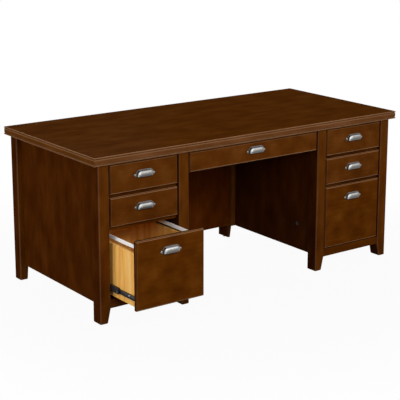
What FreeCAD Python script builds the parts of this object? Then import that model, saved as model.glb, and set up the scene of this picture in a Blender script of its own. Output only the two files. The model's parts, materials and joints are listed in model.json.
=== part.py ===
import FreeCAD, Part
import math
import os

# Executive desk with two pedestals and seven drawers, in millimetres.
# X runs across the desk, -Y faces the sitter, +Y faces the visitor, Z is up.
# The origin is on the floor, below the middle of the desk top.

# Desk top
top_width = 1778.0
top_depth = 826.0
desk_height = 762.0
top_thickness = 38.0

# Moulded edge of the top, from the upper lip down to the lower lip
edge_width = 24.0
edge_upper_lip = 5.5
edge_upper_groove = 3.0
edge_lower_groove = 2.5
edge_lower_lip = 6.0
edge_groove_depth = 3.0
edge_band_setback = 1.0
edge_lip_round = 2.5
edge_arris_round = 1.4

# Overhang of the top past the carcass
side_overhang = 27.0
front_overhang = 17.0
rear_overhang = 10.0

# Pedestals, posts and feet
kneehole_width = 770.0
post_width = 55.0
front_post_depth = 64.0
rear_post_depth = 57.0
rear_post_width = 46.0
post_round = 7.0
foot_width = 40.0
rear_foot_width = 41.0
foot_height = 70.0
rear_leg_depth = 84.0
rear_leg_thickness = 24.0
rear_leg_foot = 14.0
rear_leg_round = 2.0
glide_height = 4.0
glide_radius = 6.0

# Panels
panel_thickness = 16.0
panel_bottom = 78.0
outer_panel_setback = 25.0
inner_panel_setback = 20.0
back_panel_thickness = 12.0
back_panel_setback = 20.0
bottom_panel_thickness = 12.0
bottom_panel_rise = 2.0
modesty_thickness = 16.0
cleat_width = 24.0
cleat_depth = 22.0

# Rails, battens and fixings
base_rail_height = 38.0
base_rail_thickness = 20.0
base_rail_setback = 3.0
base_rail_round = 2.0
divider_height = 24.0
divider_depth = 50.0
top_rail_height = 20.0
batten_height = 45.0
top_cleat_width = 18.0
top_cleat_height = 20.0
cap_radius = 10.0
cap_height = 3.0
cap_round = 1.2
cap_from_front = 165.0
cap_above_floor = 212.0

# Drawer fronts
front_thickness = 20.0
front_setback = 1.0
front_bevel = 5.5
front_side_gap = 5.0
front_top_gap = 7.5
front_gap = 13.0
front_base_gap = 3.0
front_stop_gap = 1.5
shallow_front_height = 133.5
centre_front_height = 94.0

# Drawer boxes
box_side = 12.0
box_bottom = 6.0
box_bottom_rise = 10.0
box_rise = 12.0
file_box_rise = 14.0
box_length = 560.0
centre_box_length = 440.0
box_below_front = 21.0
centre_box_below_front = 20.0
file_side_below_front = 58.0
file_end_below_front = 16.0
hanging_rail_height = 16.0
hanging_rail_thickness = 4.0
hanging_rail_gap = 14.0

# Telescopic slides
slide_space = 12.7
slide_wall = 1.5
slide_web_gap = 0.5
slide_race = 4.0
slide_race_gap = 0.4
drawer_member_height = 20.0
slide_rise = 30.0
file_slide_rise = 40.0
slide_length = 550.0
centre_slide_length = 400.0
slide_front_gap = 3.0
middle_member_length = 530.0
middle_member_setback = 23.0

# How far the left file drawer stands open, and the share of it that its middle members follow
left_file_open = 200.0
middle_travel_share = 0.5

# Cup pull: its ears are on one level, with the cup hanging around that level
pull_width = 89.0
pull_depth = 18.0
pull_above_ears = 20.5
pull_below_ears = 8.0
pull_end_slope = 10.0
pull_top_slope = 4.5
pull_wall = 2.0
pull_shoulder = 20.0
pull_front_round = 12.0
pull_flange = 1.8
pull_plate = 2.0
pull_plate_round = 2.0
ear_from_cup = 4.5
ear_radius = 5.7
screw_radius = 3.2
screw_height = 1.8
screw_round = 1.0
pull_above_middle = 4.0
file_pull_below_top = 68.0

# Cuts run past the faces they open by this much, and edges are picked within the tolerance
overrun = 5.0
pick_tolerance = 0.01

# Planes worked out from the sizes above
top_underside = desk_height - top_thickness
front_plane = -top_depth / 2 + front_overhang
rear_plane = top_depth / 2 - rear_overhang
pedestal_outer = top_width / 2 - side_overhang
pedestal_inner = kneehole_width / 2
opening_outer = pedestal_outer - post_width
opening_inner = pedestal_inner + post_width
opening_middle = (opening_outer + opening_inner) / 2
opening_half = (opening_outer - opening_inner) / 2
front_post_back = front_plane + front_post_depth
rear_post_front = rear_plane - rear_post_depth
rear_post_inner = pedestal_outer - rear_post_width
rear_leg_front = rear_plane - rear_leg_depth
outer_panel_face = pedestal_outer - outer_panel_setback
outer_panel_inside = outer_panel_face - panel_thickness
inner_panel_face = pedestal_inner + inner_panel_setback
inner_panel_inside = inner_panel_face + panel_thickness
back_panel_back = rear_plane - back_panel_setback
back_panel_front = back_panel_back - back_panel_thickness
modesty_front = rear_leg_front - modesty_thickness
cleat_front = modesty_front - cleat_depth
base_rail_top = foot_height + base_rail_height
front_face = front_plane + front_setback
front_back = front_face + front_thickness
rail_front = front_back + front_stop_gap
rail_back = rail_front + divider_depth
drawer_member_half = drawer_member_height / 2
middle_member_half = drawer_member_half + slide_race_gap + slide_race
file_cabinet_half = middle_member_half + slide_race_gap + slide_race
slide_set_in = slide_wall + slide_web_gap
cabinet_reach = slide_space - slide_set_in

# Levels of the drawer fronts, from the top down
upper_high = top_underside - front_top_gap
upper_low = upper_high - shallow_front_height
middle_high = upper_low - front_gap
middle_low = middle_high - shallow_front_height
file_high = middle_low - front_gap
file_low = base_rail_top + front_base_gap
centre_low = upper_high - centre_front_height


def vector(x, y, z):
    return FreeCAD.Vector(x, y, z)


def block(xa, xb, ya, yb, za, zb):
    """A box between two opposite corners, given in any order."""
    corner = vector(min(xa, xb), min(ya, yb), min(za, zb))
    return Part.makeBox(abs(xb - xa), abs(yb - ya), abs(zb - za), corner)


def rounded_wire(corners, radii):
    """A closed wire through corners in space, each turned with its radius, or sharp where that is zero."""
    starts, ends, arcs = [], [], []
    count = len(corners)
    for i, corner in enumerate(corners):
        to_last = (corners[i - 1] - corner).normalize()
        to_next = (corners[(i + 1) % count] - corner).normalize()
        if radii[i] == 0:
            starts.append(corner)
            ends.append(corner)
            arcs.append(None)
            continue
        half_angle = to_last.getAngle(to_next) / 2
        tangent = radii[i] / math.tan(half_angle)
        middle_way = (to_last + to_next).normalize()
        nearest = corner + middle_way * (radii[i] / math.sin(half_angle) - radii[i])
        starts.append(corner + to_last * tangent)
        ends.append(corner + to_next * tangent)
        arcs.append(Part.Arc(starts[i], nearest, ends[i]).toShape())
    edges = []
    for i in range(count):
        if arcs[i]:
            edges.append(arcs[i])
        edges.append(Part.LineSegment(ends[i], starts[(i + 1) % count]).toShape())
    return Part.Wire(edges)


def rounded_section(xa, xb, ya, yb, z, radius):
    """A level rectangle with rounded corners."""
    corners = [vector(xa, ya, z), vector(xb, ya, z), vector(xb, yb, z), vector(xa, yb, z)]
    return rounded_wire(corners, [radius] * len(corners))


def group(solids):
    return Part.makeCompound(solids)


def save(name, shape):
    shape.exportStep(os.path.join("parts", name + ".step"))


# Desk top and its mitred edge

def edge_profile(end_x):
    """Section of the moulding at one end. Y is the depth behind the outer edge."""
    upper_lip_low = desk_height - edge_upper_lip
    band_high = upper_lip_low - edge_upper_groove
    lower_lip_high = top_underside + edge_lower_lip
    band_low = lower_lip_high + edge_lower_groove
    outline = [
        (edge_width, desk_height, 0),
        (0, desk_height, edge_lip_round),
        (0, upper_lip_low, edge_arris_round),
        (edge_groove_depth, upper_lip_low, 0),
        (edge_groove_depth, band_high, 0),
        (edge_band_setback, band_high, edge_arris_round),
        (edge_band_setback, band_low, edge_arris_round),
        (edge_groove_depth, band_low, 0),
        (edge_groove_depth, lower_lip_high, 0),
        (0, lower_lip_high, edge_arris_round),
        (0, top_underside, edge_lip_round),
        (edge_width, top_underside, 0),
    ]
    corners = [vector(end_x, depth, level) for depth, level, radius in outline]
    return rounded_wire(corners, [radius for depth, level, radius in outline])


def edge_length(run, turn, shift):
    """One mitred length of moulding, made along X with its outer edge at Y zero, then turned into place."""
    half = run / 2
    bar = Part.Face(edge_profile(-half)).extrude(vector(run, 0, 0))
    plan = [vector(-half, 0, top_underside), vector(half, 0, top_underside)]
    plan += [vector(half - edge_width, edge_width, top_underside)]
    plan += [vector(edge_width - half, edge_width, top_underside)]
    mitre = Part.Face(Part.makePolygon(plan + plan[:1])).extrude(vector(0, 0, top_thickness))
    length = bar.common(mitre).Solids[0]
    length.rotate(vector(0, 0, 0), vector(0, 0, 1), turn)
    length.translate(shift)
    return length


def make_top():
    half_width, half_depth = top_width / 2, top_depth / 2
    core = block(edge_width - half_width, half_width - edge_width, edge_width - half_depth,
                 half_depth - edge_width, top_underside, desk_height)
    save("top_panel", core)
    front = edge_length(top_width, 0, vector(0, -half_depth, 0))
    rear = edge_length(top_width, 180, vector(0, half_depth, 0))
    save("top_edge_long", group([front, rear]))
    left = edge_length(top_depth, -90, vector(-half_width, 0, 0))
    right = edge_length(top_depth, 90, vector(half_width, 0, 0))
    save("top_edge_short", group([left, right]))


# Pedestals

def post(side, straight_x, tapered_x, foot_x, y_front, y_back, radius):
    """A post with one straight side. The side across from it slopes in below the carcass, to the foot."""
    sections = []
    for x, z in ((foot_x, glide_height), (tapered_x, foot_height), (tapered_x, top_underside)):
        low_x, high_x = sorted((side * straight_x, side * x))
        sections.append(rounded_section(low_x, high_x, y_front, y_back, z, radius))
    return Part.makeLoft(sections, True, True)


def post_plan():
    """Name, straight face, opposite face, foot face, front, back and rounding of each post of a pedestal."""
    return [
        ("front_outer_post", pedestal_outer, opening_outer, pedestal_outer - foot_width,
         front_plane, front_post_back, post_round),
        ("front_inner_post", pedestal_inner, opening_inner, pedestal_inner + foot_width,
         front_plane, front_post_back, post_round),
        ("rear_outer_post", pedestal_outer, rear_post_inner, pedestal_outer - rear_foot_width,
         rear_post_front, rear_plane, post_round),
        ("rear_inner_leg", pedestal_inner, pedestal_inner + rear_leg_thickness,
         pedestal_inner + rear_leg_foot, rear_leg_front, rear_plane, rear_leg_round),
    ]


def make_posts(word, side):
    glides = []
    for name, straight_x, tapered_x, foot_x, y_front, y_back, radius in post_plan():
        save(word + "_" + name, post(side, straight_x, tapered_x, foot_x, y_front, y_back, radius))
        middle = vector(side * (straight_x + foot_x) / 2, (y_front + y_back) / 2, 0)
        glides.append(Part.makeCylinder(glide_radius, glide_height, middle))
    return glides


def make_panels(word, side):
    outer = block(side * outer_panel_inside, side * outer_panel_face, front_post_back, rear_post_front,
                  panel_bottom, top_underside)
    save(word + "_outer_side_panel", outer)
    inner = block(side * inner_panel_face, side * inner_panel_inside, front_post_back, rear_leg_front,
                  panel_bottom, top_underside)
    save(word + "_inner_side_panel", inner)
    back = block(side * (pedestal_inner + rear_leg_thickness), side * rear_post_inner, back_panel_front,
                 back_panel_back, panel_bottom, top_underside)
    save(word + "_back_panel", back)
    floor_low = panel_bottom + bottom_panel_rise
    floor_high = floor_low + bottom_panel_thickness
    floor = block(side * inner_panel_inside, side * outer_panel_inside, front_post_back, rear_leg_front,
                  floor_low, floor_high)
    base_rail_back = front_plane + base_rail_setback + base_rail_thickness
    tongue = block(side * opening_inner, side * opening_outer, base_rail_back, front_post_back,
                   floor_low, floor_high)
    tail = block(side * (pedestal_inner + rear_leg_thickness), side * rear_post_inner, rear_leg_front,
                 back_panel_front, floor_low, floor_high)
    save(word + "_bottom_panel", floor.fuse([tongue, tail]).removeSplitter())


def rail(side, low, high):
    """A rail behind the drawer fronts, from post to post."""
    return block(side * opening_inner, side * opening_outer, rail_front, rail_back, low, high)


def along_x_on_front(edge, y_front):
    first, last = edge.Vertexes[0].Point, edge.Vertexes[-1].Point
    on_front = abs(first.y - y_front) < pick_tolerance and abs(last.y - y_front) < pick_tolerance
    return on_front and abs(first.z - last.z) < pick_tolerance


def make_front_rails(word, side):
    base_front = front_plane + base_rail_setback
    base = block(side * opening_inner, side * opening_outer, base_front, base_front + base_rail_thickness,
                 foot_height, base_rail_top)
    arrises = [edge for edge in base.Edges if along_x_on_front(edge, base_front)]
    solids = [base.makeFillet(base_rail_round, arrises)]
    for low, high in ((middle_high, upper_low), (file_high, middle_low)):
        level = (low + high) / 2
        solids.append(rail(side, level - divider_height / 2, level + divider_height / 2))
    solids.append(rail(side, top_underside - top_rail_height, top_underside))
    save(word + "_front_rails", group(solids))


def make_kneehole():
    modesty = block(-inner_panel_face, inner_panel_face, modesty_front, rear_leg_front,
                    panel_bottom, top_underside)
    save("modesty_panel", modesty)
    cleats, caps = [], []
    for side in (-1, 1):
        cleats.append(block(side * (inner_panel_face - cleat_width), side * inner_panel_face, cleat_front,
                            modesty_front, panel_bottom, top_underside))
        seat = vector(side * inner_panel_face, front_plane + cap_from_front, cap_above_floor)
        cap = Part.makeCylinder(cap_radius, cap_height, seat, vector(-side, 0, 0))
        cap_face = side * (inner_panel_face - cap_height)
        rim = [edge for edge in cap.Edges if abs(edge.CenterOfMass.x - cap_face) < pick_tolerance]
        caps.append(cap.makeFillet(cap_round, rim))
    save("modesty_cleats", group(cleats))
    save("bolt_caps", group(caps))


def make_top_cleats():
    solids = []
    for side in (-1, 1):
        low = top_underside - top_cleat_height
        solids.append(block(side * inner_panel_inside, side * (inner_panel_inside + top_cleat_width),
                            rail_back, rear_leg_front, low, top_underside))
        solids.append(block(side * (outer_panel_inside - top_cleat_width), side * outer_panel_inside,
                            rail_back, rear_post_front, low, top_underside))
    save("top_cleats", group(solids))


# Telescopic slides

def channel(face_x, toward, reach, half_height, flange, y_front, y_back, level):
    """A C-shaped length along Y. Its web stands on the plane face_x and its flanges reach towards toward."""
    outline = [
        (0, -half_height), (reach, -half_height),
        (reach, flange - half_height), (slide_wall, flange - half_height),
        (slide_wall, half_height - flange), (reach, half_height - flange),
        (reach, half_height), (0, half_height),
    ]
    corners = [vector(face_x + toward * out, y_front, level + rise) for out, rise in outline]
    face = Part.Face(Part.makePolygon(corners + corners[:1]))
    return face.extrude(vector(0, y_back - y_front, 0))


class Drawer:
    """One drawer: its front, box, pull and slides, made where the drawer stands at rest."""

    def __init__(self, name, middle_x, half_opening, front_low, front_high, opened=0.0):
        self.name = name
        self.middle_x = middle_x
        self.half_opening = half_opening
        self.front_low = front_low
        self.front_high = front_high
        self.opened = opened
        self.is_file = name.endswith("file_drawer")
        self.is_centre = name.startswith("centre")
        self.box_low = front_low + (file_box_rise if self.is_file else box_rise)
        self.side_high = front_high - box_below_front
        if self.is_file:
            self.side_high = front_high - file_side_below_front
        if self.is_centre:
            self.side_high = front_high - centre_box_below_front
        self.end_high = front_high - file_end_below_front if self.is_file else self.side_high
        self.length = centre_box_length if self.is_centre else box_length
        self.slide_length = centre_slide_length if self.is_centre else slide_length
        self.slide_level = self.box_low + (file_slide_rise if self.is_file else slide_rise)
        self.pull_level = (front_low + front_high) / 2 + pull_above_middle
        if self.is_file:
            self.pull_level = front_high - file_pull_below_top
        self.half_box = half_opening - slide_space

    def front(self):
        half = self.half_opening - front_side_gap
        face_y = front_face - self.opened
        board = block(self.middle_x - half, self.middle_x + half, face_y, face_y + front_thickness,
                      self.front_low, self.front_high)
        rim = []
        for edge in board.Edges:
            if all(abs(corner.Y - face_y) < pick_tolerance for corner in edge.Vertexes):
                rim.append(edge)
        return board.makeChamfer(front_bevel, rim)

    def box(self):
        """Two sides, a sub-front, a back and a bottom."""
        low = self.box_low
        y_front = front_back - self.opened
        y_back = y_front + self.length
        inside = self.half_box - box_side
        boards = []
        for hand in (-1, 1):
            boards.append(block(self.middle_x + hand * self.half_box, self.middle_x + hand * inside,
                                y_front, y_back, low, self.side_high))
        left, right = self.middle_x - inside, self.middle_x + inside
        boards.append(block(left, right, y_front, y_front + box_side, low, self.end_high))
        boards.append(block(left, right, y_back - box_side, y_back, low, self.end_high))
        boards.append(block(left, right, y_front + box_side, y_back - box_side, low + box_bottom_rise,
                            low + box_bottom_rise + box_bottom))
        return group(boards)

    def hanging_rails(self):
        """Two bars above the sides, from the raised sub-front to the raised back."""
        low = self.side_high + hanging_rail_gap
        y_front = front_back - self.opened + box_side
        y_back = y_front + self.length - 2 * box_side
        inside = self.half_box - box_side
        bars = []
        for hand in (-1, 1):
            inner_face = self.middle_x + hand * (inside - hanging_rail_thickness)
            bars.append(block(self.middle_x + hand * inside, inner_face, y_front, y_back,
                              low, low + hanging_rail_height))
        return group(bars)

    def drawer_members(self):
        """Channels on the box sides. Those of a file drawer leave room for the middle member's web."""
        reach = cabinet_reach - slide_set_in if self.is_file else cabinet_reach
        y_front = front_back + slide_front_gap - self.opened
        members = []
        for hand in (-1, 1):
            face_x = self.middle_x + hand * self.half_box
            members.append(channel(face_x, hand, reach, drawer_member_half, slide_wall, y_front,
                                   y_front + self.slide_length, self.slide_level))
        return group(members)

    def middle_members(self):
        """Channels that run in the cabinet members and carry the drawer members."""
        y_front = front_back + middle_member_setback - self.opened * middle_travel_share
        members = []
        for hand in (-1, 1):
            face_x = self.middle_x + hand * (self.half_opening - slide_set_in)
            members.append(channel(face_x, -hand, cabinet_reach - slide_set_in, middle_member_half,
                                   slide_race, y_front, y_front + middle_member_length, self.slide_level))
        return group(members)

    def cabinet_members(self):
        """Channels on the posts and battens."""
        half_height = file_cabinet_half if self.is_file else middle_member_half
        y_front = front_back + slide_front_gap
        members = []
        for hand in (-1, 1):
            face_x = self.middle_x + hand * self.half_opening
            members.append(channel(face_x, -hand, cabinet_reach, half_height, slide_race, y_front,
                                   y_front + self.slide_length, self.slide_level))
        return members

    def battens(self):
        """Battens that bring the slides out from the set-back panels to the faces of the posts."""
        low, high = self.slide_level - batten_height / 2, self.slide_level + batten_height / 2
        solids = []
        if self.is_centre:
            for side in (-1, 1):
                solids.append(block(side * pedestal_inner, side * inner_panel_face, front_post_back,
                                    cleat_front, low, high))
            return solids
        side = math.copysign(1, self.middle_x)
        solids.append(block(side * opening_outer, side * outer_panel_inside, front_post_back,
                            rear_post_front, low, high))
        solids.append(block(side * inner_panel_inside, side * opening_inner, front_post_back, rear_leg_front,
                            low, high))
        return solids

    def make(self):
        save(self.name + "_front", self.front())
        save(self.name + "_box", self.box())
        save(self.name + "_pull", cup_pull(self.middle_x, front_face - self.opened, self.pull_level))
        save(self.name + "_slides", self.drawer_members())
        if self.is_file:
            save(self.name + "_hanging_rails", self.hanging_rails())
            save(self.name + "_middle_slides", self.middle_members())


# Cup pull

def cup_block(middle_x, face_y, level, inset, past_openings):
    """The cup as a solid, drawn in by inset: its ends and top slope in towards its rounded front."""
    low = level - pull_below_ears - past_openings
    back_y, front_y = face_y + past_openings, face_y - pull_depth + inset
    halves, highs = [], []
    for y in (front_y, back_y):
        share = (face_y - y) / pull_depth
        halves.append(pull_width / 2 - pull_end_slope * share - inset)
        highs.append(level + pull_above_ears - pull_top_slope * share - inset)
    solid = Part.makeWedge(middle_x - halves[0], front_y, low, low, middle_x - halves[1],
                           middle_x + halves[0], back_y, highs[0], highs[1], middle_x + halves[1])
    shoulders = []
    for edge in solid.Edges:
        ends = [corner.Point for corner in edge.Vertexes]
        if abs(ends[0].y - ends[1].y) > pick_tolerance and min(end.z for end in ends) > low + pick_tolerance:
            shoulders.append(edge)
    solid = solid.makeFillet(pull_shoulder - inset, shoulders)
    front_edges = []
    for edge in solid.Edges:
        on_front = all(abs(corner.Y - front_y) < pick_tolerance for corner in edge.Vertexes)
        on_bottom = all(abs(corner.Z - low) < pick_tolerance for corner in edge.Vertexes)
        if on_front and not on_bottom:
            front_edges.append(edge)
    return solid.makeFillet(pull_front_round - inset, front_edges)


def cup_pull(middle_x, face_y, level):
    """Cup, flange and ears in one casting, hollow from below, and its two screws."""
    outside = cup_block(middle_x, face_y, level, 0, 0)
    hollow = cup_block(middle_x, face_y, level, pull_wall, overrun)
    half = pull_width / 2 + pull_flange
    low, high = level - pull_below_ears, level + pull_above_ears + pull_flange
    corners = [vector(middle_x - half, face_y, low), vector(middle_x + half, face_y, low),
               vector(middle_x + half, face_y, high), vector(middle_x - half, face_y, high)]
    turns = [pull_plate_round, pull_plate_round, pull_shoulder + pull_flange, pull_shoulder + pull_flange]
    flange = Part.Face(rounded_wire(corners, turns)).extrude(vector(0, -pull_plate, 0))
    ears, screws = [], []
    outwards = vector(0, -1, 0)
    for hand in (-1, 1):
        seat = vector(middle_x + hand * (pull_width / 2 + ear_from_cup), face_y, level)
        ears.append(Part.makeCylinder(ear_radius, pull_plate, seat, outwards))
        on_ear = seat + outwards * pull_plate
        head = Part.makeCylinder(screw_radius, screw_height, on_ear, outwards)
        rim = [edge for edge in head.Edges if edge.CenterOfMass.y < on_ear.y - screw_height + pick_tolerance]
        screws.append(head.makeFillet(screw_round, rim))
    casting = outside.fuse([flange] + ears).cut(hollow).removeSplitter()
    return group(casting.Solids + screws)


def all_drawers():
    drawers = []
    for word, side in (("left", -1), ("right", 1)):
        middle = side * opening_middle
        opened = left_file_open if side < 0 else 0.0
        drawers.append(Drawer(word + "_top_drawer", middle, opening_half, upper_low, upper_high))
        drawers.append(Drawer(word + "_middle_drawer", middle, opening_half, middle_low, middle_high))
        drawers.append(Drawer(word + "_file_drawer", middle, opening_half, file_low, file_high, opened))
    drawers.append(Drawer("centre_drawer", 0.0, kneehole_width / 2, centre_low, upper_high))
    return drawers


os.makedirs("parts", exist_ok=True)
make_top()
foot_glides = []
for side_word, side_sign in (("left", -1), ("right", 1)):
    foot_glides += make_posts(side_word, side_sign)
    make_panels(side_word, side_sign)
    make_front_rails(side_word, side_sign)
save("foot_glides", group(foot_glides))
make_kneehole()
make_top_cleats()
slide_battens, cabinet_slides = [], []
for drawer in all_drawers():
    drawer.make()
    slide_battens += drawer.battens()
    cabinet_slides += drawer.cabinet_members()
save("slide_battens", group(slide_battens))
save("cabinet_slides", group(cabinet_slides))
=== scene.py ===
# %% [markdown]
# This lesson dresses an executive desk: two pedestals, seven drawers and a moulded top, in dark stained
# wood. The boards, slides and joints come from the CAD frame, so they are only loaded here and never
# moved. What Blender adds is the light, the finishes, softened arrises, cast pulls and small fixings.

# %% Load the frame
import json
import math

import bmesh
import bpy
from mathutils import Matrix, Vector


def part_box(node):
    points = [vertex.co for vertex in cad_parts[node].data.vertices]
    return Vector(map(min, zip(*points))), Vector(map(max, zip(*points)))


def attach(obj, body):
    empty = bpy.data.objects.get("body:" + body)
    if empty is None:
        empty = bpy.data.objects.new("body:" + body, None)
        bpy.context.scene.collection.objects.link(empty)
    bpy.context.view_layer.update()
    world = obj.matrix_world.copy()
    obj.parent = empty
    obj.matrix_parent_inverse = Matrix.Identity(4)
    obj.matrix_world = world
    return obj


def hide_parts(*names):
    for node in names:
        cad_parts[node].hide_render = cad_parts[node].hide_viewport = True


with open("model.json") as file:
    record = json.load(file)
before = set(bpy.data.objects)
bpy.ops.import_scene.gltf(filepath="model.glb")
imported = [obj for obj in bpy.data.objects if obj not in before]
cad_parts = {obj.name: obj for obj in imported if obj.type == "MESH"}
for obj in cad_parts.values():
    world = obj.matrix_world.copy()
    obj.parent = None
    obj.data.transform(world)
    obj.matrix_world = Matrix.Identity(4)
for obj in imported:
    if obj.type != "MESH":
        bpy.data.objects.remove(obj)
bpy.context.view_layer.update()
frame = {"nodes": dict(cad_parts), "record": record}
scene = bpy.context.scene
boards = frame["nodes"]
nodes_of_body = frame["record"]["behaviour"]["bodies"]
body_of_node = {node: body for body, held in nodes_of_body.items() for node in held}
slot_of_node = {row["node"]: row["material_slot"] for row in frame["record"]["subparts"]}

# %% [markdown]
# The camera stands before the drawers, off to the left and above the top. Its place was worked out from
# the corners of the top and the feet, with the desk at its real size. A small downward shift of the lens,
# as on a view camera, lets it tilt a little less, so that the legs lean less in the picture.

# %% Camera
picture_side = 400
film_width = 36.0
camera_place = Vector((-3.441, -4.670, 1.932))
camera_heading = math.radians(36.1)
camera_tilt = math.radians(13.0)
focal_pixels = 1205
downward_shift = -0.12

camera_data = bpy.data.cameras.new("photo_camera")
camera_data.sensor_width = film_width
camera_data.lens = film_width * focal_pixels / picture_side
camera_data.shift_y = downward_shift
camera = bpy.data.objects.new("photo_camera", camera_data)
camera.location = camera_place
camera.rotation_euler = (math.pi / 2 - camera_tilt, 0, -camera_heading)
scene.collection.objects.link(camera)
scene.camera = camera
scene.view_settings.view_transform = "Standard"
print("camera: lens", round(camera_data.lens, 1), "mm at", camera_place[:])

# %% [markdown]
# Every finish below is a small graph of shader nodes. Wiring such graphs by hand in Python is long and
# hard to read. So one class stands for an output socket: plain arithmetic on it adds Math nodes, and one
# method adds any other node. With it a finish reads like the sentence that describes it.

# %% Shader arithmetic
noise_middle = 0.5


def set_stops(ramp, stops):
    """Gives a colour ramp its stops, as pairs of a place and a colour."""
    while len(ramp.elements) < len(stops):
        ramp.elements.new(1.0)
    for element, (place, tint) in zip(ramp.elements, stops):
        element.position = place
        element.color = tint


class Signal:
    """One output socket of a node tree. Arithmetic on it adds Math nodes."""

    def __init__(self, tree, socket=None):
        self.tree = tree
        self.socket = socket

    def node(self, kind, settings=None, sockets=None, output=0):
        """Adds a node. Its settings come first, then the values or links of its sockets."""
        made = self.tree.nodes.new(kind)
        for name, value in (settings or {}).items():
            if name == "stops":
                set_stops(made.color_ramp, value)
            else:
                setattr(made, name, value)
        for name, value in (sockets or {}).items():
            if isinstance(value, Signal):
                self.tree.links.new(value.socket, made.inputs[name])
            else:
                made.inputs[name].default_value = value
        return Signal(self.tree, made.outputs[output] if made.outputs else None)

    def output(self, name):
        """Another output of the same node."""
        return Signal(self.tree, self.socket.node.outputs[name])

    def maths(self, operation, *values):
        return self.node("ShaderNodeMath", {"operation": operation}, dict(enumerate(values)))

    def __add__(self, other):
        return self.maths("ADD", self, other)

    def __sub__(self, other):
        return self.maths("SUBTRACT", self, other)

    def __rsub__(self, other):
        return self.maths("SUBTRACT", other, self)

    def __mul__(self, other):
        return self.maths("MULTIPLY", self, other)

    def __pow__(self, other):
        return self.maths("POWER", self, other)

    __radd__ = __add__
    __rmul__ = __mul__

    def largest(self, other):
        return self.maths("MAXIMUM", self, other)

    def size(self):
        return self.maths("ABSOLUTE", self)

    def swing(self, share):
        """Noise that swings about zero instead of its middle, by that share."""
        return share * (self - noise_middle)

    def between(self, low, high):
        """0 below low and 1 above high, with a soft step from one to the other."""
        settings = {"interpolation_type": "SMOOTHSTEP"}
        return self.node("ShaderNodeMapRange", settings, {"Value": self, "From Min": low, "From Max": high})

    def ramp(self, stops):
        """A colour for each level of this signal."""
        return self.node("ShaderNodeValToRGB", {"stops": stops}, {0: self})

    def blend(self, first, second):
        """The first colour where this is 0 and the second where it is 1."""
        return self.node("ShaderNodeMix", {"data_type": "RGBA"}, {0: self, 6: first, 7: second}, output=2)

    def blend_places(self, first, second):
        """The first coordinates where this is 0 and the second where it is 1."""
        return self.node("ShaderNodeMix", {"data_type": "VECTOR"}, {0: self, 4: first, 5: second}, output=1)


print("shader arithmetic ready")

# %% [markdown]
# Some steps come back in every finish: an empty material to start in, noise without a direction, a bump
# for fine relief and a Principled surface at the end. Each is a short function, so that a finish only has
# to say what is its own. Patterns read Object coordinates, which here are the desk's own.

# %% Steps of a finish
def colour(red, green, blue):
    return (red, green, blue, 1.0)


def new_finish(name):
    """An empty material, and a signal that can add nodes to it."""
    material = bpy.data.materials.new(name)
    material.use_nodes = True
    material.node_tree.nodes.clear()
    return material, Signal(material.node_tree)


def place_on_desk(start):
    return start.node("ShaderNodeTexCoord", output="Object")


def even_noise(start, scale, detail):
    """Noise without a direction, with so many features in a metre."""
    sockets = {"Vector": place_on_desk(start), "Scale": scale, "Detail": detail}
    return start.node("ShaderNodeTexNoise", sockets=sockets)


def relief(height, strength, distance):
    """A bump that follows a height."""
    sockets = {"Strength": strength, "Distance": distance, "Height": height}
    return height.node("ShaderNodeBump", sockets=sockets)


def surface(start, sockets):
    """Ends a finish in a Principled surface with those sockets set."""
    shader = start.node("ShaderNodeBsdfPrincipled", sockets=sockets)
    start.node("ShaderNodeOutputMaterial", sockets={"Surface": shader})


print("steps of a finish ready")

# %% [markdown]
# The desk stands in a white studio. Light Path tells the sky's shader which ray is asking. What the camera
# and mirror-like rays see is white, while the light that falls on the desk from the sky stays modest.

# %% Sky
sky_light = 0.28
white = colour(1.0, 1.0, 1.0)


def seen_directly(start):
    """1 for rays from the camera, mirrors and glass, 0 for the light that is gathered on dull surfaces."""
    path = start.node("ShaderNodeLightPath", output="Is Camera Ray")
    return path.largest(path.output("Is Glossy Ray")).largest(path.output("Is Transmission Ray"))


scene.world = bpy.data.worlds.new("studio")
scene.world.use_nodes = True
scene.world.node_tree.nodes.clear()
sky = Signal(scene.world.node_tree)
sky_strength = sky_light + (1 - sky_light) * seen_directly(sky)
sky_shader = sky.node("ShaderNodeBackground", sockets={"Color": white, "Strength": sky_strength})
sky.node("ShaderNodeOutputWorld", sockets={"Surface": sky_shader})
print("sky: lights the desk at", sky_light)

# %% [markdown]
# The floor is a wide disc. It throws light back at the desk as a grey card would, and glows white for the
# camera. Near the desk it keeps a little of its own shading there too, so the desk throws a soft shadow.

# %% Floor
floor_radius = 9.0
floor_segments = 96
floor_grey = 0.38
glow_near = 0.95
shadow_reach = 1.0
shadow_end = 2.2

floor_finish, start = new_finish("pale_floor")
length_of = {"operation": "LENGTH"}
from_middle = start.node("ShaderNodeVectorMath", length_of, {0: place_on_desk(start)}, output="Value")
glow = glow_near + (1 - glow_near) * from_middle.between(shadow_reach, shadow_end)
matt = start.node("ShaderNodeBsdfDiffuse", sockets={"Color": colour(floor_grey, floor_grey, floor_grey)})
glowing = start.node("ShaderNodeEmission", sockets={"Color": white, "Strength": 1.0})
mixed = start.node("ShaderNodeMixShader", sockets={0: glow * seen_directly(start), 1: matt, 2: glowing})
start.node("ShaderNodeOutputMaterial", sockets={"Surface": mixed})

shape = bmesh.new()
bmesh.ops.create_circle(shape, cap_ends=True, segments=floor_segments, radius=floor_radius)
floor_mesh = bpy.data.meshes.new("studio_floor")
shape.to_mesh(floor_mesh)
shape.free()
floor_mesh.materials.append(floor_finish)
floor = bpy.data.objects.new("studio_floor", floor_mesh)
scene.collection.objects.link(floor)
print("floor: radius", floor_radius, "m")

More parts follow.
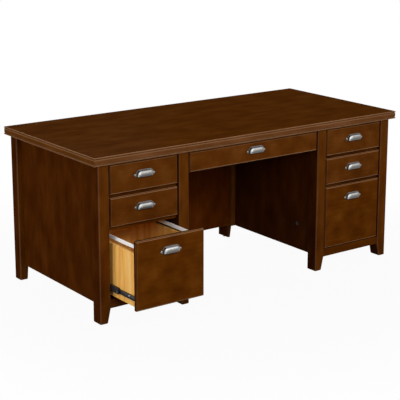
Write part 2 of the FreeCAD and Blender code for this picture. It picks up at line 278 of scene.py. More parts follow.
# %% [markdown]
# Four soft boxes light the desk. Two stand before the drawers, left and right, so the fronts are
# brightest. A third, off the left end, gives little more than half as much as that pair, which leaves the
# end in half shade. The rear one lights the visitor's side. Each lamp's power is worked out from the
# brightness wanted at the desk and its distance, by the inverse square law.

# %% Lamps
desk_middle = Vector((0.0, 0.0, 0.40))
# Name, place, width, height, and brightness wanted at the desk
soft_boxes = [
    ("front_left", Vector((-1.5, -3.0, 2.0)), 1.4, 1.2, 0.34),
    ("front_right", Vector((1.2, -3.0, 2.0)), 1.4, 1.2, 0.29),
    ("left_fill", Vector((-4.6, 0.2, 1.4)), 2.0, 1.6, 0.36),
    ("rear", Vector((1.5, 4.4, 2.8)), 2.2, 1.4, 0.55),
]
for name, lamp_place, width, height, brightness in soft_boxes:
    lamp_data = bpy.data.lights.new(name, "AREA")
    lamp_data.shape = "RECTANGLE"
    lamp_data.size = width
    lamp_data.size_y = height
    to_desk = desk_middle - lamp_place
    lamp_data.energy = brightness * math.pi ** 2 * to_desk.length_squared
    lamp = bpy.data.objects.new(name, lamp_data)
    lamp.location = lamp_place
    lamp.rotation_euler = to_desk.to_track_quat("-Z", "Y").to_euler()
    lamp.visible_camera = False
    scene.collection.objects.link(lamp)
    print("lamp:", name, round(lamp_data.energy), "W")

# %% [markdown]
# The wood is a close-grained hardwood under a dark warm stain and satin lacquer. A picture of veneer would
# repeat, so each board is grown instead: rings round a pith that lies off its face, and fibres and pores
# along it. A Mapping node turns the desk's coordinates first, so that X always runs along the grain.

# %% Grain
grain_turns = {"X": (0, 0, 0), "Y": (0, 0, math.pi / 2), "Z": (0, -math.pi / 2, 0)}
run_out = (0.0, math.radians(1.6), math.radians(1.1))
# A figure of noise: features in a metre along the grain and across it, detail, and at times roughness
wander_figure = (1.4, 7, 2)
ring_bend = 0.03
ring_detail = 1.5


def stretched_noise(start, place, along, across, detail, roughness=0.5):
    """Noise drawn out along the grain."""
    scaled = start.node("ShaderNodeMapping", sockets={"Vector": place, "Scale": (along, across, across)})
    settings = {"noise_dimensions": "3D"}
    sockets = {"Vector": scaled, "Scale": 1.0, "Detail": detail, "Roughness": roughness}
    return start.node("ShaderNodeTexNoise", settings, sockets)


def grown_board(start, along, pith):
    """Coordinates of a board: X along its grain, with the pith of the tree on the X axis."""
    turn = [whole + slight for whole, slight in zip(grain_turns[along], run_out)]
    sockets = {"Vector": place_on_desk(start), "Location": pith, "Rotation": turn}
    return start.node("ShaderNodeMapping", {"vector_type": "TEXTURE"}, sockets)


def growth_rings(start, place, spacing):
    """Uneven bands round the pith, bent a little by slow noise."""
    parts = start.node("ShaderNodeSeparateXYZ", sockets={0: place})
    across, depth = parts.output("Y"), parts.output("Z")
    radius = (across * across + depth * depth) ** 0.5
    bent = radius + stretched_noise(start, place, *wander_figure).swing(ring_bend)
    sockets = {"W": bent * (1 / spacing), "Scale": 1.0, "Detail": ring_detail}
    return start.node("ShaderNodeTexNoise", {"noise_dimensions": "1D"}, sockets)


print("grain: can run along", ", ".join(grain_turns))

# %% [markdown]
# A joiner cuts each board so that its grain runs the long way: up a post, along a rail. The pith of the
# tree lies some way off a board's flat face. Each board gets its own, so no two show the same figure.

# %% Way of the grain
upright_endings = ("_post", "_leg", "_panel", "_cleats")
boards_front_to_back = ("top_edge_short", "top_cleats", "slide_battens")
pith_depth = 0.16
pith_sway = Vector((0.037, 0.029, 0.043))
sway_waves_across = 9.0
sway_waves_up = 5.0


def grain_of(node):
    """The axis along which the grain runs in a board."""
    if node.endswith(upright_endings) and node not in ("top_panel", "top_cleats"):
        return "Y" if node.endswith("bottom_panel") else "Z"
    return "Y" if node in boards_front_to_back else "X"


def pith_of(node, along):
    """A pith some way off the flat face of a board, and a little to one side."""
    low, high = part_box(node)
    middle = (low + high) / 2
    thin = min(range(3), key=lambda axis: high[axis] - low[axis])
    off_face = Vector((0, 0, 0))
    off_face[thin] = -pith_depth
    sway = pith_sway * math.sin(len(node) + sway_waves_across * middle.x + sway_waves_up * middle.z)
    sway["XYZ".index(along)] = 0
    return middle + off_face + sway


print("pith of the top:", pith_of("top_panel", "X")[:])

# %% [markdown]
# All boards carry one stain, and a kind of board has a depth for red, green and blue over it, which is
# painted light and shade. A depth over 1 darkens that colour, and one under 1 lightens it. The side panels,
# the top, the rails between the drawers and the file drawers' fronts are made darker as painted shade, the
# cleats at the back of the kneehole lighter as painted light, and the moulding and the shallow fronts
# lighter, most in blue, as a painted sheen. One set of colours, divided by it, keeps all boards in one
# family.

# %% Depths of painted light and shade
# Tone of the grain, then red, green and blue of the stain on it
stain_tones = (
    (0.20, 0.050, 0.0113, 0.0005),
    (0.50, 0.092, 0.0252, 0.0022),
    (0.80, 0.140, 0.0445, 0.0058),
)
# The colour of painted shade: on bevels, in the gaps over the fronts and in the grooves of the moulding
painted_shade_colour = colour(0.012, 0.0030, 0.0003)
plain_depth = (1.0, 1.0, 1.0)
# By the end of a node's name
painted_light_depths = {
    "_inner_side_panel": (1.95, 2.30, 2.00),
    "_outer_side_panel": (1.65, 1.95, 2.60),
    "modesty_panel": (0.95, 1.25, 2.00),
    "modesty_cleats": (0.70, 0.65, 0.50),
    "_back_panel": (0.95, 1.25, 2.00),
    "top_panel": (1.20, 1.20, 1.30),
    "top_edge_long": (0.75, 0.58, 0.18),
    "top_edge_short": (0.95, 0.85, 0.50),
    "_file_drawer_front": (1.03, 1.08, 1.60),
    "_drawer_front": (0.97, 0.95, 0.70),
    "_rails": (1.18, 1.28, 3.00),
}
# Painted shade on the faces of posts, legs and fronts that look to the left or right
side_shade_depths = {
    "_outer_post": (1.9, 2.3, 3.0),
    "_inner_post": (2.3, 2.8, 3.0),
    "_inner_leg": (2.3, 2.8, 3.0),
    "_drawer_front": (2.4, 3.0, 4.0),
}
side_shade_turns = {"front": (0.90, 0.97), "frame": (0.45, 0.97)}


def by_ending(table, node):
    """The first row of a table whose name ends the node's name."""
    return next((row for ending, row in table.items() if node.endswith(ending)), None)


def stained(tone, depth):
    """The stain on darker and lighter grain, at a depth that adds painted light and shade."""
    stops = []
    for level, *parts in stain_tones:
        stops.append((level, colour(*(part / deeper for part, deeper in zip(parts, depth)))))
    return tone.ramp(stops)


print("depths of stain:", len(painted_light_depths), "and on sides", len(side_shade_depths))

# %% [markdown]
# Stain, wear and the painted light and shade follow the shape of a board. A painted mask would have to be
# drawn for every one of them.
# The way a face looks and its level over the floor tell just as well where it is: an arris, for one, looks
# along no axis of the desk. So these masks are worked out, and follow the rounds that are cut later on.

# %% Where a face is
level_fade = 0.0005


def board_kind(node):
    """Fronts, rails, the moulding and the frame get wear and painted highlight in their own ways, the top
    none.
    """
    if node.endswith("_front"):
        return "front"
    if node.startswith("top_edge"):
        return "moulding"
    if node.endswith("_rails"):
        return "rail"
    return "flat" if node == "top_panel" else "frame"


def looks(start, axis):
    """How far the surface looks along an axis of the desk, from -1 to 1."""
    normal = start.node("ShaderNodeNewGeometry", output="Normal")
    return start.node("ShaderNodeSeparateXYZ", sockets={0: normal}, output=axis)


def arris_mask(start):
    """0 on faces that look along an axis of the desk, and up to 0.42 on arrises, bevels and corners."""
    along_x, along_y, along_z = (looks(start, axis).size() for axis in "XYZ")
    return 1 - along_x.largest(along_y).largest(along_z)


def at_levels(start, levels):
    """1 between each pair of levels over the floor, with soft ends, and 0 elsewhere."""
    level = start.node("ShaderNodeSeparateXYZ", sockets={0: place_on_desk(start)}, output="Z")
    mask = 0.0
    for low, high in levels:
        mask = mask + level.between(low, low + level_fade) * (1 - level.between(high - level_fade, high))
    return mask


stained_nodes = sorted(node for node in boards if slot_of_node[node] == "stained_wood")
print("kinds of stained board:", sorted({board_kind(node) for node in stained_nodes}))

# %% [markdown]
# The fine lighter lines on the arrises are partly wear, where hands and dust cloths rub the stain thin, and
# partly painted highlight, strongest on the level arrises. On arrises that look down, the paler colour is a
# painted highlight against their shade. The rails behind the fronts hardly get them, and close under the top,
# where the top throws its shadow, the fronts' lines are weaker. A front's bevel gets painted shade where it
# looks down or to the side. Each kind of board has its own row of values, and one function serves all.

# %% Worn arrises and painted highlights
pale_wear_and_highlight = colour(0.50, 0.27, 0.135)
arris_wear_and_highlight = colour(0.30, 0.155, 0.075)
# How far an arris is turned where its line of wear and painted highlight begins and ends, its share of that
# line and its added gloss
wear_and_highlight_rows = {
    "front": {
        "from_turn": (0.02, 0.05), "to_turn": (0.19, 0.26), "level": 0.75, "upright": 0.10, "gloss": 0.04,
    },
    "moulding": {"from_turn": (0.004, 0.04), "level": 0.92, "upright": 0.50, "gloss": 0.04},
    "frame": {"from_turn": (0.01, 0.08), "level": 0.65, "upright": 0.09, "gloss": 0.15},
    "rail": {"from_turn": (0.01, 0.08), "level": 0.06, "upright": 0.06, "gloss": 0.0},
}
level_turns = (0.15, 0.5)
underside_turns = (-0.5, -0.2)
# Painted shade on a front's bevel, most where it looks down or to the side and less where it looks up
bevel_shade_turns = (-0.2, 0.6)
bevel_shade = 0.55
bevel_shade_lost = 0.75
# Close under the top, where its shadow falls, the lines on the fronts' arrises are weaker
under_the_top = ((0.705, 0.720),)
shade_under_top_share = 0.6


def worn_and_lit_edges(start, stain, wear):
    """Gloss and lighter lines of wear and painted highlight on the arrises; painted shade on a front's bevel.
    """
    upward = looks(start, "Z")
    turned = arris_mask(start)
    arris_line = turned.between(*wear["from_turn"])
    if "to_turn" in wear:
        bevel = turned.between(*wear["to_turn"])
        arris_line = arris_line * (1 - bevel) * (1 - shade_under_top_share * at_levels(start, under_the_top))
        shaded = bevel * (1 - bevel_shade_lost * upward.between(*bevel_shade_turns))
        stain = (bevel_shade * shaded).blend(stain, painted_shade_colour)
    level = upward.size().between(*level_turns)
    share = arris_line * (wear["upright"] + (wear["level"] - wear["upright"]) * level)
    worn_and_lit = upward.between(*underside_turns).blend(pale_wear_and_highlight, arris_wear_and_highlight)
    return wear["gloss"] * arris_line, share.blend(stain, worn_and_lit)


print("ways of wear:", sorted(wear_and_highlight_rows))

# %% [markdown]
# The strips of the moulding are a special case: their upper face carries on the veneer of the top, so that
# the joint hardly shows, and their bead gets a painted highlight. The upper edges of the fronts, deep in the
# gaps, get painted shade, and so do faces that look to the side. Blends over the masks lay these one over
# the other.

# %% Stain and painted shade on each face
upper_turns = (0.85, 0.95)
# Painted shade on the upper faces of the fronts, and a painted highlight on the moulding's bead
front_top_shade = 0.6
moulding_bead = ((0.7480, 0.7524),)
bead_highlight = 0.22


def board_place(start, node, kind, upper):
    """Coordinates along the grain of a board, and of the top on the moulding's upper face."""
    along = grain_of(node)
    place = grown_board(start, along, pith_of(node, along))
    if kind == "moulding":
        veneer = grown_board(start, "X", pith_of("top_panel", "X"))
        place = upper.blend_places(place, veneer)
    return place


def stain_and_painted_light_of_faces(start, node, kind, tone, upper):
    """The stain of a board before wear, with painted shade and highlight on some of its faces."""
    stain = stained(tone, by_ending(painted_light_depths, node) or plain_depth)
    if kind == "moulding":
        stain = (bead_highlight * at_levels(start, moulding_bead)).blend(stain, pale_wear_and_highlight)
        stain = upper.blend(stain, stained(tone, painted_light_depths["top_panel"]))
    if kind == "front":
        stain = (front_top_shade * upper).blend(stain, painted_shade_colour)
    side_depth = by_ending(side_shade_depths, node)
    if side_depth:
        shaded_side = looks(start, "X").size().between(*side_shade_turns[kind])
        stain = shaded_side.blend(stain, stained(tone, side_depth))
    return stain


print("moulding: bead at", moulding_bead[0], "m over the floor")

# %% [markdown]
# Each stained board now gets its own material, because its pith, its grain and its stain are its own. Slow
# blotches give most of its figure, with rings, fibres and fine pores over them, and the grooves of the
# moulding get painted shade. The gloss is a thin coat over a dull base, which keeps dark wood dark where it
# faces a white room.

# %% Stained boards
# Blotches in a metre along the grain and across it, and their share of the tone
blotch_figures = {
    "front": (11, 15, 0.85),
    "rail": (7, 16, 0.80),
    "frame": (7, 16, 0.80),
    "moulding": (7, 16, 0.60),
    "flat": (7, 16, 0.60),
}
blotch_detail = 3
fibre_figure = (7, 240, 4, 0.6)
pore_figure = (45, 1300, 1)
pore_levels = (0.62, 0.74)
ring_spacing = 0.008
ring_share = 0.15
fibre_share = 0.22
pore_share = 0.05
fibre_height = 0.5
pore_depth = 0.8
grain_relief = (0.10, 0.0004)
# Painted shade in the grooves of the moulding
moulding_grooves = ((0.7298, 0.7335), (0.7524, 0.7568))
groove_shade = 0.55
polish_coat = 0.005
polish_swing = 0.004
polish_lost_on_top = 0.6


def stained_wood(node):
    material, start = new_finish("stained_" + node)
    kind = board_kind(node)
    upper = looks(start, "Z").between(*upper_turns)
    place = board_place(start, node, kind, upper)
    blotches_along, blotches_across, blotch_share = blotch_figures[kind]
    blotches = stretched_noise(start, place, blotches_along, blotches_across, blotch_detail)
    rings = growth_rings(start, place, ring_spacing)
    fibres = stretched_noise(start, place, *fibre_figure)
    pores = stretched_noise(start, place, *pore_figure).between(*pore_levels)
    tone = noise_middle + blotches.swing(blotch_share) + rings.swing(ring_share)
    tone = tone + fibres.swing(fibre_share) - pore_share * pores
    gloss, base = 0.0, stain_and_painted_light_of_faces(start, node, kind, tone, upper)
    if kind in wear_and_highlight_rows:
        gloss, base = worn_and_lit_edges(start, base, wear_and_highlight_rows[kind])
    if kind == "moulding":
        base = (groove_shade * at_levels(start, moulding_grooves)).blend(base, painted_shade_colour)
    polish = (polish_coat + blotches.swing(polish_swing)) * (1 - polish_lost_on_top * upper)
    surface(start, {
        "Base Color": base,
        "Roughness": 0.45,
        "Specular IOR Level": 0.0,
        "Coat Weight": polish + gloss,
        "Coat Roughness": 0.18,
        "Normal": relief(fibre_height * fibres - pore_depth * pores, *grain_relief),
    })
    return material


for node in stained_nodes:
    boards[node].material_slots[0].material = stained_wood(node)
print("stained boards:", len(stained_nodes))

# %% [markdown]
# The drawer boxes are pale hardwood under clear lacquer, lighter where edges are rubbed. In the file
# drawers the grain of the sides stands upright, in the shallow ones it runs with the drawer, and the ends
# of a box run across it. The same ring and fibre signals serve, with other colours, and the way a face
# looks picks the way of its grain.

# %% Pale drawer wood
end_turns = (0.45, 0.55)
streak_figure = (2.2, 26, 3)
pale_fibre_figure = (9, 300, 4, 0.6)
pale_ring_spacing = 0.014
streak_share = 1.0
pale_ring_share = 0.55
pale_fibre_share = 0.5
pale_tones = (
    (0.22, colour(0.58, 0.255, 0.044)),
    (0.50, colour(0.84, 0.420, 0.088)),
    (0.78, colour(0.90, 0.570, 0.185)),
)
rubbed_tint = colour(0.88, 0.66, 0.36)
rubbed_turns = (0.06, 0.24)
rubbed_share = 0.5
pith_from_box = Vector((-0.11, 0.05, -0.07))


def box_board(start, side_grain, pith):
    """Coordinates that follow the grain of each board of a box."""
    facing = looks(start, "Y").size().between(*end_turns)
    sides = grown_board(start, side_grain, pith)
    ends = grown_board(start, "X", pith)
    return facing.blend_places(sides, ends)


def pale_wood(name, side_grain, pith):
    material, start = new_finish(name)
    place = box_board(start, side_grain, pith)
    streaks = stretched_noise(start, place, *streak_figure)
    rings = growth_rings(start, place, pale_ring_spacing)
    fibres = stretched_noise(start, place, *pale_fibre_figure)
    tone = noise_middle + streaks.swing(streak_share) + rings.swing(pale_ring_share)
    tone = tone + fibres.swing(pale_fibre_share)
    arris_line = arris_mask(start).between(*rubbed_turns)
    surface(start, {
        "Base Color": (rubbed_share * arris_line).blend(tone.ramp(pale_tones), rubbed_tint),
        "Roughness": 0.48 + fibres.swing(0.2),
        "Specular IOR Level": 0.2,
        "Normal": relief(fibres, *grain_relief),
    })
    return material


pale_nodes = sorted(node for node in boards if slot_of_node[node] == "pale_wood")
for node in pale_nodes:
    side_grain = "Z" if "file" in node else "Y"
    low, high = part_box(node)
    left_middle = Vector((low.x, (low.y + high.y) / 2, (low.z + high.z) / 2))
    finish = pale_wood("pale_" + node, side_grain, left_middle + pith_from_box)
    boards[node].material_slots[0].material = finish
print("pale boxes:", len(pale_nodes))

# %% [markdown]
# The pulls are cast pewter, with a fine cast grain and scratches. Their tints are mostly painted light: a
# painted highlight on the rounds of the crest, a painted reflection on the crown, a duller flat front, and
# painted shade on the lip, the ends and the hollow, over a little patina. How far a face looks forward tells
# most of these apart, so one colour ramp over that gives most of the tints.

# %% Aged pewter
cast_scale = 160.0
cast_detail = 3.0
scratch_figure = (60, 1500, 2)
cast_share = 0.03
scratch_share = 0.03
# How far a face looks forward, then its tint of painted light and shade
pewter_painted_tones = (
    (0.53, colour(0.026, 0.025, 0.023)),
    (0.65, colour(0.42, 0.416, 0.405)),
    (0.79, colour(0.46, 0.456, 0.445)),
    (0.93, colour(0.19, 0.188, 0.180)),
)
# Painted shade on the lip and a painted reflection on the crown
lip_shade_tint = colour(0.125, 0.123, 0.118)
lip_shade_share = 0.8
lip_upward_turns = (-0.20, 0.06)
lip_forward_turns = (0.7, 0.9)
crown_reflection_tint = colour(0.34, 0.335, 0.335)
crown_turns = (0.75, 0.95)
pewter_relief = (0.06, 0.0003)


def pewter():
    material, start = new_finish("aged_pewter")
    cast = even_noise(start, cast_scale, cast_detail)
    scratches = stretched_noise(start, place_on_desk(start), *scratch_figure)
    forward = -1 * looks(start, "Y")
    upward = looks(start, "Z")
    shade = forward + cast.swing(cast_share) + scratches.swing(scratch_share)
    lip = (1 - upward.between(*lip_upward_turns)) * forward.between(*lip_forward_turns)
    tint = (lip_shade_share * lip).blend(shade.ramp(pewter_painted_tones), lip_shade_tint)
    surface(start, {
        "Base Color": upward.between(*crown_turns).blend(tint, crown_reflection_tint),
        "Metallic": 1.0,
        "Roughness": 0.52 + scratches.swing(0.15),
        "Normal": relief(cast, *pewter_relief),
    })
    return material


finishes = {"pewter": pewter()}
print("pewter: tones", len(pewter_painted_tones))

# %% [markdown]
# The slides are steel under a thin black coat, the hanging rails steel under white powder coat, the caps
# and glides black plastic, the slides' screws and rivets bright steel. Even a black coat has specks and a
# change of gloss when it is seen close, so one function with a few values serves all three coats.

# %% Paint, plastic and bright steel
cloud_scale = 14.0
coat_detail = 2.0
mottle_levels = (0.35, 0.65)
coat_relief = (0.12, 0.0003)
steel_scale = 900.0
steel_detail = 2.0
steel_levels = (0.3, 0.7)
steel_tints = (colour(0.68, 0.68, 0.67), colour(0.80, 0.80, 0.78))


def coated(name, coat, speck_size, roughness, unevenness, shine=0.5):
    """Paint or plastic: nearly one colour, with fine specks, uneven gloss and a slight orange peel."""
    material, start = new_finish(name)
    peel = even_noise(start, 1 / speck_size, coat_detail)
    cloud = even_noise(start, cloud_scale, coat_detail)
    darker = colour(*((1 - unevenness) * part for part in coat))
    mottled = (0.5 * peel + 0.5 * cloud).between(*mottle_levels)
    surface(start, {
        "Base Color": mottled.blend(darker, colour(*coat)),
        "Roughness": roughness + cloud.swing(0.25),
        "Specular IOR Level": shine,
        "Normal": relief(peel, *coat_relief),
    })
    return material


def bright_steel():
    material, start = new_finish("bright_steel")
    turned = even_noise(start, steel_scale, steel_detail)
    tint = turned.between(*steel_levels).blend(*steel_tints)
    surface(start, {"Base Color": tint, "Metallic": 1.0, "Roughness": 0.25 + turned.swing(0.2)})
    return material


finishes["black_steel"] = coated(
    "black_coated_steel", (0.016, 0.016, 0.017), speck_size=0.0012, roughness=0.42, unevenness=0.3)
finishes["white_rail"] = coated(
    "white_powder_coat", (0.95, 0.95, 0.94), speck_size=0.0015, roughness=0.45, unevenness=0.06)
finishes["black_plastic"] = coated(
    "black_plastic", (0.012, 0.012, 0.013), speck_size=0.0008, roughness=0.40, unevenness=0.3, shine=0.15)
finishes["bright_steel"] = bright_steel()
for node in sorted(boards):
    if slot_of_node[node] in finishes:
        boards[node].material_slots[0].material = finishes[slot_of_node[node]]
print("other finishes:", sorted(finishes))

# %% [markdown]
# A cut board never has a razor edge: a joiner breaks every arris with a stroke of abrasive paper. The
# frame's boards are exact, so modifiers break their arrises. The faces come as loose triangles, so they
# are welded and their flat parts joined first. Weighted normals then keep the flats flat beside the rounds.

# %% Broken arrises
weld_reach = 0.000002
arris_widths = {
    "stained_wood": 0.0015,
    "pale_wood": 0.0012,
    "black_steel": 0.0004,
    "white_rail": 0.0008,
    "black_plastic": 0.0006,
}
fine_arris = 0.00005
front_arris = 0.0024
post_arris = 0.0030
arris_segments = 3
flat_angle = math.radians(0.5)
sharp_angle = math.radians(40)
flat_weight = 100


def soften(piece, name, width, segments):
    """Rounds every edge of a piece that turns more than the sharp angle."""
    bevel = piece.modifiers.new(name, "BEVEL")
    bevel.width = width
    bevel.segments = segments
    bevel.limit_method = "ANGLE"
    bevel.angle_limit = sharp_angle


def break_arrises(piece, width):
    weld = piece.modifiers.new("weld", "WELD")
    weld.merge_threshold = weld_reach
    flats = piece.modifiers.new("join_flats", "DECIMATE")
    flats.decimate_type = "DISSOLVE"
    flats.angle_limit = flat_angle
    soften(piece, "arris", width, arris_segments)
    even = piece.modifiers.new("even_normals", "WEIGHTED_NORMAL")
    even.weight = flat_weight


def arris_width(node):
    if node.startswith(("top_panel", "top_edge")):
        return fine_arris
    if node.endswith("_post"):
        return post_arris
    return front_arris if node.endswith("_front") else arris_widths[slot_of_node[node]]


for node in sorted(boards):
    if slot_of_node[node] in arris_widths:
        break_arrises(boards[node], arris_width(node))
print("arrises broken on", sum(slot in arris_widths for slot in slot_of_node.values()), "nodes")

# %% [markdown]
# A pull is built from a few kinds of edge and corner that have to be found again after each operator. Where
# they lie tells them apart, so these helpers pick them by the plane they are on or by their type.

# %% Picking edges and corners
touching = 0.00001
back_to_front, up = 1, 2


def all_at(part, axis, level):
    """True where every corner of a face or an edge lies on that plane."""
    return all(abs(corner.co[axis] - level) < touching for corner in part.verts)


def runs_along(edge, axis):
    """True for an edge whose corners differ along that axis."""
    first, second = edge.verts
    return abs(first.co[axis] - second.co[axis]) > touching


def corners_at(shape, axis, level):
    return [corner for corner in shape.verts if abs(corner.co[axis] - level) < touching]


def corners_of(parts):
    return [part for part in parts if isinstance(part, bmesh.types.BMVert)]


def edges_of(parts):
    return [part for part in parts if isinstance(part, bmesh.types.BMEdge)]


def faces_of(parts):
    return [part for part in parts if isinstance(part, bmesh.types.BMFace)]


def round_edges(shape, edges, radius, segments):
    bmesh.ops.bevel(shape, geom=edges, offset=radius, offset_type="OFFSET", segments=segments,
                    profile=0.5, affect="EDGES", material=-1, clamp_overlap=False)


def cut_across(shape, place, normal, drop_outer=False):
    """Cuts a shape along a plane, and drops the part on the plane's outer side if told to."""
    everything = shape.verts[:] + shape.edges[:] + shape.faces[:]
    bmesh.ops.bisect_plane(shape, geom=everything, plane_co=place, plane_no=normal, clear_outer=drop_outer)


print("corners count as touching within", touching, "m")

# %% [markdown]
# Each drawer has a cast cup pull: a hood that is open below for the fingers, and a thin flange against the
# drawer front. The hood starts as a cube, because bevelling first its shoulders and then its front rim
# gives the soft dome that catches the light. Its lip is drawn in below, its back rim is extruded into the
# flange, and the sheet gets a wall. Y is zero on the drawer front and Z at the level of the ears.

# %% Hood of a pull
pull_width = 0.089
pull_depth = 0.018
pull_above = 0.0205
pull_below = 0.008
pull_height = pull_above + pull_below
pull_end_slope = 0.010
pull_top_slope = 0.0045
pull_shoulder = 0.020
shoulder_segments = 14
pull_front_round = 0.012
front_round_segments = 10
pull_belly_level = 0.002
pull_lip_depth = 0.015
pull_wall = 0.0018
flange_width = 0.0015
flange_height = 0.002
front_level = -pull_depth
lip_level = -pull_below
from_lip = Matrix.Translation((0, 0, pull_below))


def domed_block(shape):
    """A block with round shoulders that narrows to the front, with a round front rim."""
    corners = bmesh.ops.create_cube(shape, size=1.0)["verts"]
    bmesh.ops.scale(shape, vec=(pull_width, pull_depth, pull_height), verts=corners)
    bmesh.ops.translate(shape, vec=(0, -pull_depth / 2, (pull_above - pull_below) / 2), verts=corners)
    long_edges = [edge for edge in shape.edges if runs_along(edge, back_to_front)]
    shoulders = [edge for edge in long_edges if edge.verts[0].co.z > 0]
    round_edges(shape, shoulders, pull_shoulder, shoulder_segments)
    narrower = 1 - pull_end_slope / (pull_width / 2)
    lower = 1 - pull_top_slope / pull_height
    ahead = corners_at(shape, back_to_front, front_level)
    bmesh.ops.scale(shape, vec=(narrower, 1, lower), space=from_lip, verts=ahead)
    front_edges = [edge for edge in shape.edges if all_at(edge, back_to_front, front_level)]
    front_rim = [edge for edge in front_edges if not all_at(edge, up, lip_level)]
    round_edges(shape, front_rim, pull_front_round, front_round_segments)


def open_below(shape):
    """Draws the lip in and opens the block below and at the back."""
    cut_across(shape, (0, 0, pull_belly_level), (0, 0, 1))
    lip = corners_at(shape, up, lip_level)
    bmesh.ops.scale(shape, vec=(1, pull_lip_depth / pull_depth, 1), verts=lip)
    openings = [face for face in shape.faces if all_at(face, back_to_front, 0) or all_at(face, up, lip_level)]
    bmesh.ops.delete(shape, geom=openings, context="FACES")


def add_flange(shape):
    """Spreads the back rim into a flange and turns its edge to the drawer front."""
    cut_across(shape, (0, -flange_height, 0), (0, 1, 0), drop_outer=True)
    rim = [edge for edge in shape.edges if edge.is_boundary and all_at(edge, back_to_front, -flange_height)]
    spread = bmesh.ops.extrude_edge_only(shape, edges=rim)["geom"]
    outer = corners_of(spread)
    wider = (pull_width / 2 + flange_width) / max(corner.co.x for corner in outer)
    taller = (pull_height + flange_width) / (max(corner.co.z for corner in outer) + pull_below)
    bmesh.ops.scale(shape, vec=(wider, 1, taller), space=from_lip, verts=outer)
    turned = bmesh.ops.extrude_edge_only(shape, edges=edges_of(spread))["geom"]
    bmesh.ops.translate(shape, vec=(0, flange_height, 0), verts=corners_of(turned))


def shell_hood(shape):
    domed_block(shape)
    open_below(shape)
    add_flange(shape)
    bmesh.ops.recalc_face_normals(shape, faces=shape.faces)
    bmesh.ops.solidify(shape, geom=shape.faces, thickness=pull_wall)


print("hood:", pull_width, "by", pull_depth, "by", round(pull_height, 4), "m")

# %% [markdown]
# A round ear at each end of a pull takes a slotted screw. Ears, screws and rivets are all the same thing: a
# disc raised to a boss, with a rounded rim and perhaps a slot. So one function makes them, upright at the
# origin, and says how to move them to their place.

# %% Ears, screws and rivets
boss_segments = 28
boss_round_segments = 4
slot_depth_share = 0.55


def cut_slot(shape, crown, width, depth):
    """Cuts a strip out of the flat crown of a boss and sinks it."""
    for side in (-1, 1):
        around = [crown] + list(crown.edges) + list(crown.verts)
        edge_of_slot = (0, side * width / 2, 0)
        made = bmesh.ops.bisect_plane(shape, geom=around, plane_co=edge_of_slot, plane_no=(0, 1, 0))
        crown = min(faces_of(made["geom"]), key=lambda face: abs(face.calc_center_median().y))
    floor_of_slot = bmesh.ops.extrude_face_region(shape, geom=[crown])["geom"]
    bmesh.ops.translate(shape, vec=(0, 0, -depth), verts=corners_of(floor_of_slot))
    bmesh.ops.delete(shape, geom=[crown], context="FACES_ONLY")


def button(shape, radius, height, round_over, place, outwards, slot_width=0.0, turn=0.0):
    """A round boss that stands outwards on a place, with a rounded rim and, for a screw, a slot across it."""
    disc = bmesh.ops.create_circle(shape, cap_ends=True, segments=boss_segments, radius=radius)["verts"]
    raised = bmesh.ops.extrude_face_region(shape, geom=[disc[0].link_faces[0]])["geom"]
    bmesh.ops.translate(shape, vec=(0, 0, height), verts=corners_of(raised))
    round_edges(shape, list(faces_of(raised)[0].edges), round_over, boss_round_segments)
    if slot_width:
        crown = max(shape.faces, key=lambda face: face.calc_center_median().z)
        cut_slot(shape, crown, slot_width, slot_depth_share * height)
    stand = outwards.to_track_quat("Z", "Y").to_matrix().to_4x4()
    return Matrix.Translation(place) @ stand @ Matrix.Rotation(turn, 4, "Z")


print("bosses: round to", boss_segments, "sides")

# %% [markdown]
# A piece can be made of several shapes in one mesh. Each is built by itself first, because its normals are
# recalculated before it joins the rest. The finished mesh is shaded smooth but for its sharp edges, given
# its finish and told which body it rides on.

# %% Joining shapes
def join_shape(target, build, *values):
    """Builds a shape by itself, moves it where build says and adds it to the target."""
    shape = bmesh.new()
    move = build(shape, *values)
    bmesh.ops.recalc_face_normals(shape, faces=shape.faces)
    if move:
        bmesh.ops.transform(shape, matrix=move, verts=shape.verts)
    mesh = bpy.data.meshes.new("part")
    shape.to_mesh(mesh)
    shape.free()
    target.from_mesh(mesh)
    bpy.data.meshes.remove(mesh)


def finish_piece(name, shape, body, finish):
    """Makes a shape an object that rides on a body, smooth but for its sharp edges."""
    mesh = bpy.data.meshes.new(name)
    shape.to_mesh(mesh)
    shape.free()
    mesh.shade_smooth()
    mesh.set_sharp_from_angle(angle=sharp_angle)
    mesh.materials.append(finish)
    piece = bpy.data.objects.new(name, mesh)
    scene.collection.objects.link(piece)
    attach(piece, body)
    return piece


print("edges stay sharp over", round(math.degrees(sharp_angle)), "degrees")

# %% [markdown]
# A pull is cast in one piece: the hood, and at each end an ear with a screw in it. It takes the place of
# the plain pull of the frame and rides on the same drawer. The slots of the screws are turned at odds, as
# a fitter leaves them, and a fine bevel rounds the rims of the casting.

# %% Pulls on the drawers
ear_place = 0.049
ear_radius = 0.0057
ear_height = 0.0024
ear_round = 0.0021
pull_screw_radius = 0.0032
pull_screw_height = 0.0015
pull_screw_round = 0.0012
pull_screw_slot = 0.0009
slot_turn = 0.6
slot_swing = 1.7
slot_waves_across = 40
slot_waves_up = 23
cast_rim = 0.0005
cast_rim_segments = 2
forwards = Vector((0, -1, 0))


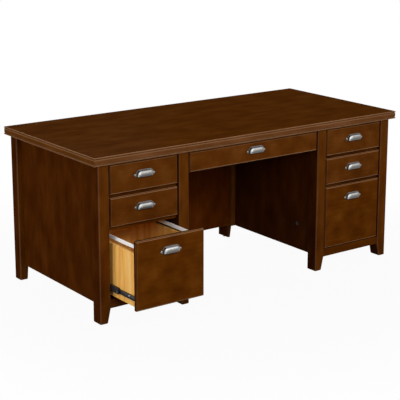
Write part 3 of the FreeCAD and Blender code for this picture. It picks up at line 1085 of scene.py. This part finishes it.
def make_pull(node):
    low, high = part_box(node)
    seat = Vector(((low.x + high.x) / 2, high.y, low.z + pull_below))
    wave = math.sin(slot_waves_across * seat.x + slot_waves_up * seat.z)
    shape = bmesh.new()
    join_shape(shape, shell_hood)
    for hand in (-1, 1):
        ear = Vector((hand * ear_place, 0, 0))
        join_shape(shape, button, ear_radius, ear_height, ear_round, ear, forwards)
        turn = slot_turn + slot_swing * hand * wave
        join_shape(shape, button, pull_screw_radius, pull_screw_height, pull_screw_round,
                   ear + ear_height * forwards, forwards, pull_screw_slot, turn)
    bmesh.ops.translate(shape, vec=seat, verts=shape.verts)
    name = node.replace("_pull", "_cup_pull")
    pull = finish_piece(name, shape, body_of_node[node], finishes["pewter"])
    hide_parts(node)
    soften(pull, "rim", cast_rim, cast_rim_segments)
    return pull


pulls = [make_pull(node) for node in sorted(boards) if node.endswith("_pull")]
print("pulls:", len(pulls), "of", len(pulls[0].data.polygons), "faces each")

# %% [markdown]
# Telescopic slides are held by screws and pinned with rivets, which show when a drawer stands open. They
# are far too small to matter to the CAD frame, so they are added here. A screw sits in the channel on the
# drawer's side, and the flat rivet of a file drawer's middle member stands out less than the play between
# it and the cabinet member.

# %% Slide screws and rivets
slide_wall = 0.0015
slide_screw_radius = 0.0035
slide_screw_height = 0.0018
slide_screw_round = 0.0010
slide_screw_slot = 0.0010
slot_turn_per_metre = 7
screw_stations = (0.045, 0.150, 0.340)
rivet_radius = 0.0034
rivet_height = 0.00035
rivet_round = 0.0002
rivet_station = 0.014
rivet_drop = 0.009
leftwards = Vector((-1, 0, 0))
rightwards = Vector((1, 0, 0))


def slide_screws(node):
    """Screws that hold the two drawer members of a drawer to the sides of its box."""
    low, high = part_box(node)
    box_low, box_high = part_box(node.replace("_slides", "_box"))
    level = (low.z + high.z) / 2
    shape = bmesh.new()
    for side, outwards in ((box_low.x - slide_wall, leftwards), (box_high.x + slide_wall, rightwards)):
        for station in screw_stations:
            place = Vector((side, low.y + station, level))
            join_shape(shape, button, slide_screw_radius, slide_screw_height, slide_screw_round,
                       place, outwards, slide_screw_slot, slot_turn_per_metre * station)
    steel = finishes["bright_steel"]
    return finish_piece(node + "_screws", shape, body_of_node[node], steel)


def slide_rivets(node):
    """A flat rivet through the lower front corner of each of the two middle members of a file drawer."""
    low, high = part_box(node)
    level = (low.z + high.z) / 2 - rivet_drop
    shape = bmesh.new()
    for side, outwards in ((low.x, leftwards), (high.x, rightwards)):
        place = Vector((side, low.y + rivet_station, level))
        join_shape(shape, button, rivet_radius, rivet_height, rivet_round, place, outwards)
    steel = finishes["bright_steel"]
    return finish_piece(node + "_rivets", shape, body_of_node[node], steel)


slide_nodes = sorted(node for node in boards if node.endswith("_drawer_slides"))
screws = [slide_screws(node) for node in slide_nodes]
rivets = [slide_rivets(node) for node in sorted(boards) if node.endswith("_middle_slides")]
print("slide screws on", len(screws), "drawers, rivets on", len(rivets), "file drawers")
